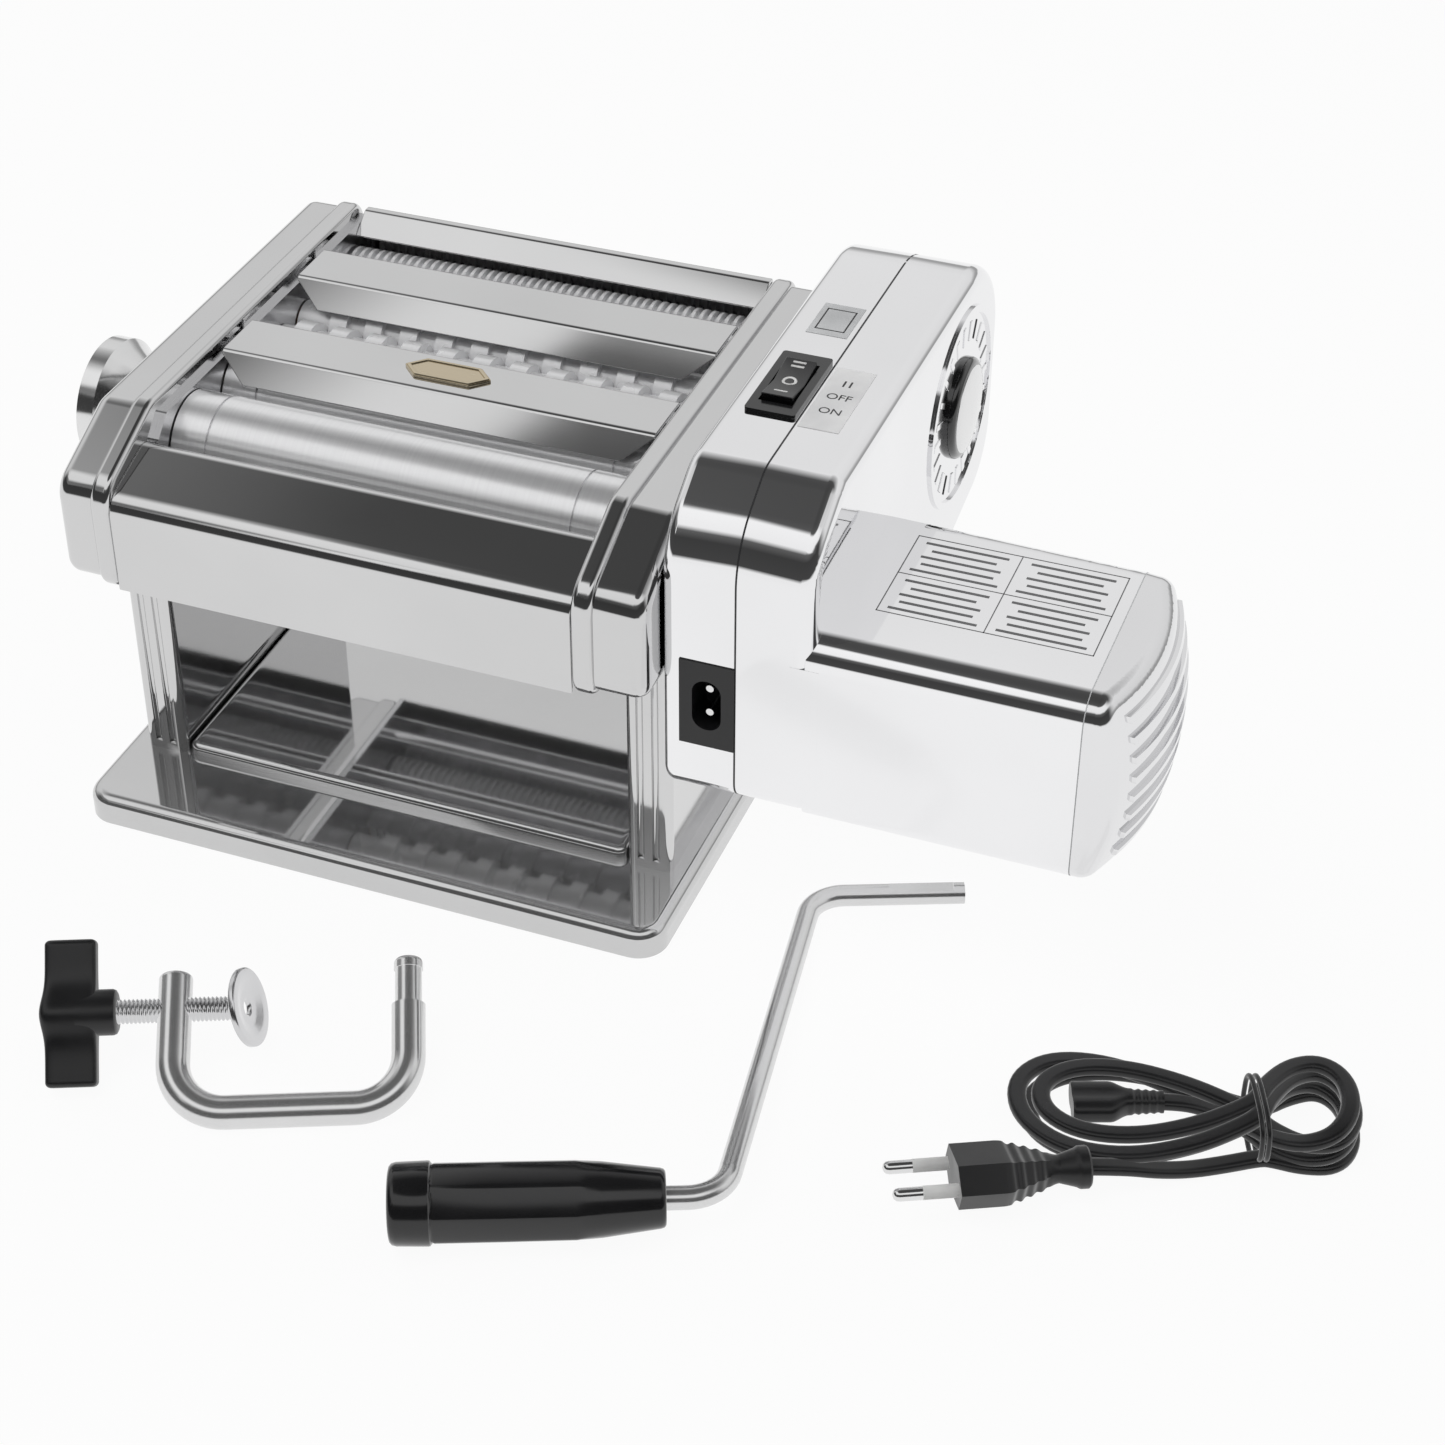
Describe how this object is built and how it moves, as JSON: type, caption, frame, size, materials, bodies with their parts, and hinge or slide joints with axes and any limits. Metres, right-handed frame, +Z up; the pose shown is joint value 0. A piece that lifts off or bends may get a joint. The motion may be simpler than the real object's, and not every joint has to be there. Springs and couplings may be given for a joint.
{
  "type": "pasta roller machine",
  "caption": "Table-top pasta machine: paired smooth rollers with a thickness dial, two strip-cutter pairs, and a removable geared drive motor, with hand crank, table clamp and mains lead.",
  "frame": {"origin": "middle of the base's underside, on the table", "axes": "+X along the rollers towards the motor, +Y from the front apron to the back, +Z up from the table"},
  "size_m": [0.4492, 0.346, 0.1692],
  "materials": {
    "polished_sheet": "mirror-polished sheet",
    "floor_plate": "plain sheet",
    "screws": "zinc",
    "cheek_steel": "satin",
    "badge": "satin plate, bare",
    "bushes": "sintered",
    "roller_alloy": "turned and polished",
    "gear_steel": "machined",
    "block_plastic": "moulded",
    "chrome_knob": "polished",
    "plated_housing": "bright-plated moulding",
    "round_badge": "dark rim, bright face",
    "stator_steel": "laminated",
    "train_plastic": "moulded",
    "switch_black": "moulded",
    "contact_pins": "nickel-plated tips",
    "chrome_rod": "plated bar",
    "black_plastic": "moulded",
    "cord_black": "moulded lead"
  },
  "bodies": {
    "frame": {"base_tray": "polished_sheet", "floor_plate": "floor_plate", "catch_pan": "polished_sheet", "left_leg": "polished_sheet", "right_leg": "polished_sheet", "foot_screws": "screws", "left_side_plate": "polished_sheet", "right_side_plate": "polished_sheet", "left_side_cover": "polished_sheet", "right_side_cover": "polished_sheet", "dough_cheeks": "cheek_steel", "front_apron": "polished_sheet", "middle_plate": "polished_sheet", "rear_plate": "polished_sheet", "back_plate": "polished_sheet", "badge_plate": "badge", "shaft_bushes": "bushes", "cutter_combs": "cheek_steel", "roller_scrapers": "cheek_steel", "tie_rods": "screws"},
    "front_roller": {"front_roller": "roller_alloy", "front_roller_gear": "gear_steel"},
    "carriage": {"sliding_bearings": "block_plastic"},
    "rear_roller": {"rear_roller": "roller_alloy", "rear_roller_gear": "gear_steel"},
    "dial": {"dial_shaft": "gear_steel", "knob_spring": "gear_steel"},
    "knob": {"thickness_knob": "chrome_knob"},
    "wide_front": {"wide_cutter_front": "roller_alloy"},
    "wide_rear": {"wide_cutter_rear": "roller_alloy"},
    "fine_front": {"fine_cutter_front": "roller_alloy"},
    "fine_rear": {"fine_cutter_rear": "roller_alloy"},
    "motor": {"gear_case": "plated_housing", "motor_case": "plated_housing", "end_cap": "plated_housing", "round_badge": "round_badge", "case_screws": "screws", "stator": "stator_steel", "motor_bearings": "bushes", "switch_body": "switch_black", "inlet_socket": "switch_black", "inlet_pins": "contact_pins"},
    "armature": {"armature": "stator_steel", "cooling_fan": "train_plastic"},
    "first_idler": {"first_idler": "train_plastic"},
    "second_idler": {"second_idler": "train_plastic"},
    "output": {"output_gear": "train_plastic"},
    "rocker": {"switch_rocker": "switch_black"},
    "crank": {"crank_rod": "chrome_rod"},
    "grip": {"crank_grip": "black_plastic"},
    "clamp": {"clamp_arm": "chrome_rod"},
    "clamp_pad": {"clamp_pad": "chrome_rod"},
    "clamp_screw": {"clamp_screw": "chrome_rod", "clamp_knob": "black_plastic"},
    "lead": {"cord_hank": "cord_black", "cord_tail": "cord_black", "plug_body": "cord_black", "plug_pins": "contact_pins", "connector": "cord_black", "cord_tie": "cord_black"}
  },
  "joints": [
    {"name": "roller_spin", "type": "hinge", "parent": "frame", "child": "front_roller", "pos_m": [0, -0.04, 0.126], "axis": [1, 0, 0], "continuous": true},
    {"name": "thickness_turn", "type": "hinge", "parent": "frame", "child": "dial", "pos_m": [0, -0.01365, 0.1155], "axis": [1, 0, 0], "range_deg": [0, 162]},
    {"name": "carriage_slide", "type": "slide", "parent": "frame", "child": "carriage", "axis": [0, 1, 0], "range_m": [-0.00205, 0]},
    {"name": "rear_roller_spin", "type": "hinge", "parent": "carriage", "child": "rear_roller", "pos_m": [0, -0.0061, 0.126], "axis": [1, 0, 0], "continuous": true},
    {"name": "knob_pull", "type": "slide", "parent": "dial", "child": "knob", "axis": [-1, 0, 0], "range_m": [0, 0.004], "stiffness_N_per_m": 800, "springref_m": -0.004, "deforming": ["knob_spring"]},
    {"name": "wide_spin", "type": "hinge", "parent": "frame", "child": "wide_rear", "pos_m": [0, 0.03885, 0.127], "axis": [1, 0, 0], "continuous": true},
    {"name": "wide_front_spin", "type": "hinge", "parent": "frame", "child": "wide_front", "pos_m": [0, 0.02085, 0.127], "axis": [1, 0, 0], "continuous": true},
    {"name": "motor_dock", "type": "slide", "parent": "frame", "child": "motor", "axis": [1, 0, 0], "range_m": [0, 0.06]},
    {"name": "armature_spin", "type": "hinge", "parent": "motor", "child": "armature", "pos_m": [0, -0.031, 0.092], "axis": [1, 0, 0], "continuous": true},
    {"name": "first_idler_spin", "type": "hinge", "parent": "motor", "child": "first_idler", "pos_m": [0, -0.00762, 0.1055], "axis": [1, 0, 0], "continuous": true},
    {"name": "second_idler_spin", "type": "hinge", "parent": "motor", "child": "second_idler", "pos_m": [0, 0.02479, 0.10306], "axis": [1, 0, 0], "continuous": true},
    {"name": "output_spin", "type": "hinge", "parent": "motor", "child": "output", "pos_m": [0, 0.0593, 0.127], "axis": [1, 0, 0], "continuous": true},
    {"name": "fine_front_spin", "type": "hinge", "parent": "frame", "child": "fine_front", "pos_m": [0, 0.0593, 0.127], "axis": [1, 0, 0], "continuous": true},
    {"name": "fine_rear_spin", "type": "hinge", "parent": "frame", "child": "fine_rear", "pos_m": [0, 0.0763, 0.127], "axis": [1, 0, 0], "continuous": true},
    {"name": "rocker_tilt", "type": "hinge", "parent": "motor", "child": "rocker", "pos_m": [0.1147, -0.007, 0.164], "axis": [1, 0, 0], "range_deg": [-10, 10]},
    {"name": "crank_lift", "type": "slide", "parent": "frame", "child": "crank", "axis": [0, 0, 1], "range_m": [0, 0.04]},
    {"name": "grip_spin", "type": "hinge", "parent": "crank", "child": "grip", "pos_m": [0.0752, -0.224, 0.012], "axis": [0.9205, 0.3907, 0], "continuous": true},
    {"name": "clamp_lift", "type": "slide", "parent": "frame", "child": "clamp", "axis": [0, 0, 1], "range_m": [0, 0.04]},
    {"name": "clamp_feed", "type": "slide", "parent": "clamp", "child": "clamp_pad", "axis": [0.9135, 0.4067, 0], "range_m": [-0.008, 0.0115]},
    {"name": "clamp_screw_turn", "type": "hinge", "parent": "clamp_pad", "child": "clamp_screw", "pos_m": [-0.01584, -0.18161, 0.01905], "axis": [0.9135, 0.4067, 0], "range_deg": [-2304, 3312]},
    {"name": "lead_lift", "type": "slide", "parent": "frame", "child": "lead", "axis": [0, 0, 1], "range_m": [0, 0.04]}
  ],
  "couplings": [
    {"joint": "rear_roller_spin", "follows": "roller_spin", "ratio": -1},
    {"joint": "carriage_slide", "follows": "thickness_turn", "m_per_rad": -0.00072455},
    {"joint": "wide_front_spin", "follows": "wide_spin", "ratio": -1},
    {"joint": "first_idler_spin", "follows": "armature_spin", "ratio": -0.22727},
    {"joint": "second_idler_spin", "follows": "armature_spin", "ratio": 0.068182},
    {"joint": "output_spin", "follows": "armature_spin", "ratio": -0.018595},
    {"joint": "fine_front_spin", "follows": "armature_spin", "ratio": -0.018595},
    {"joint": "fine_rear_spin", "follows": "armature_spin", "ratio": 0.018595},
    {"joint": "clamp_feed", "follows": "clamp_screw_turn", "m_per_rad": 0.00019894}
  ]
}
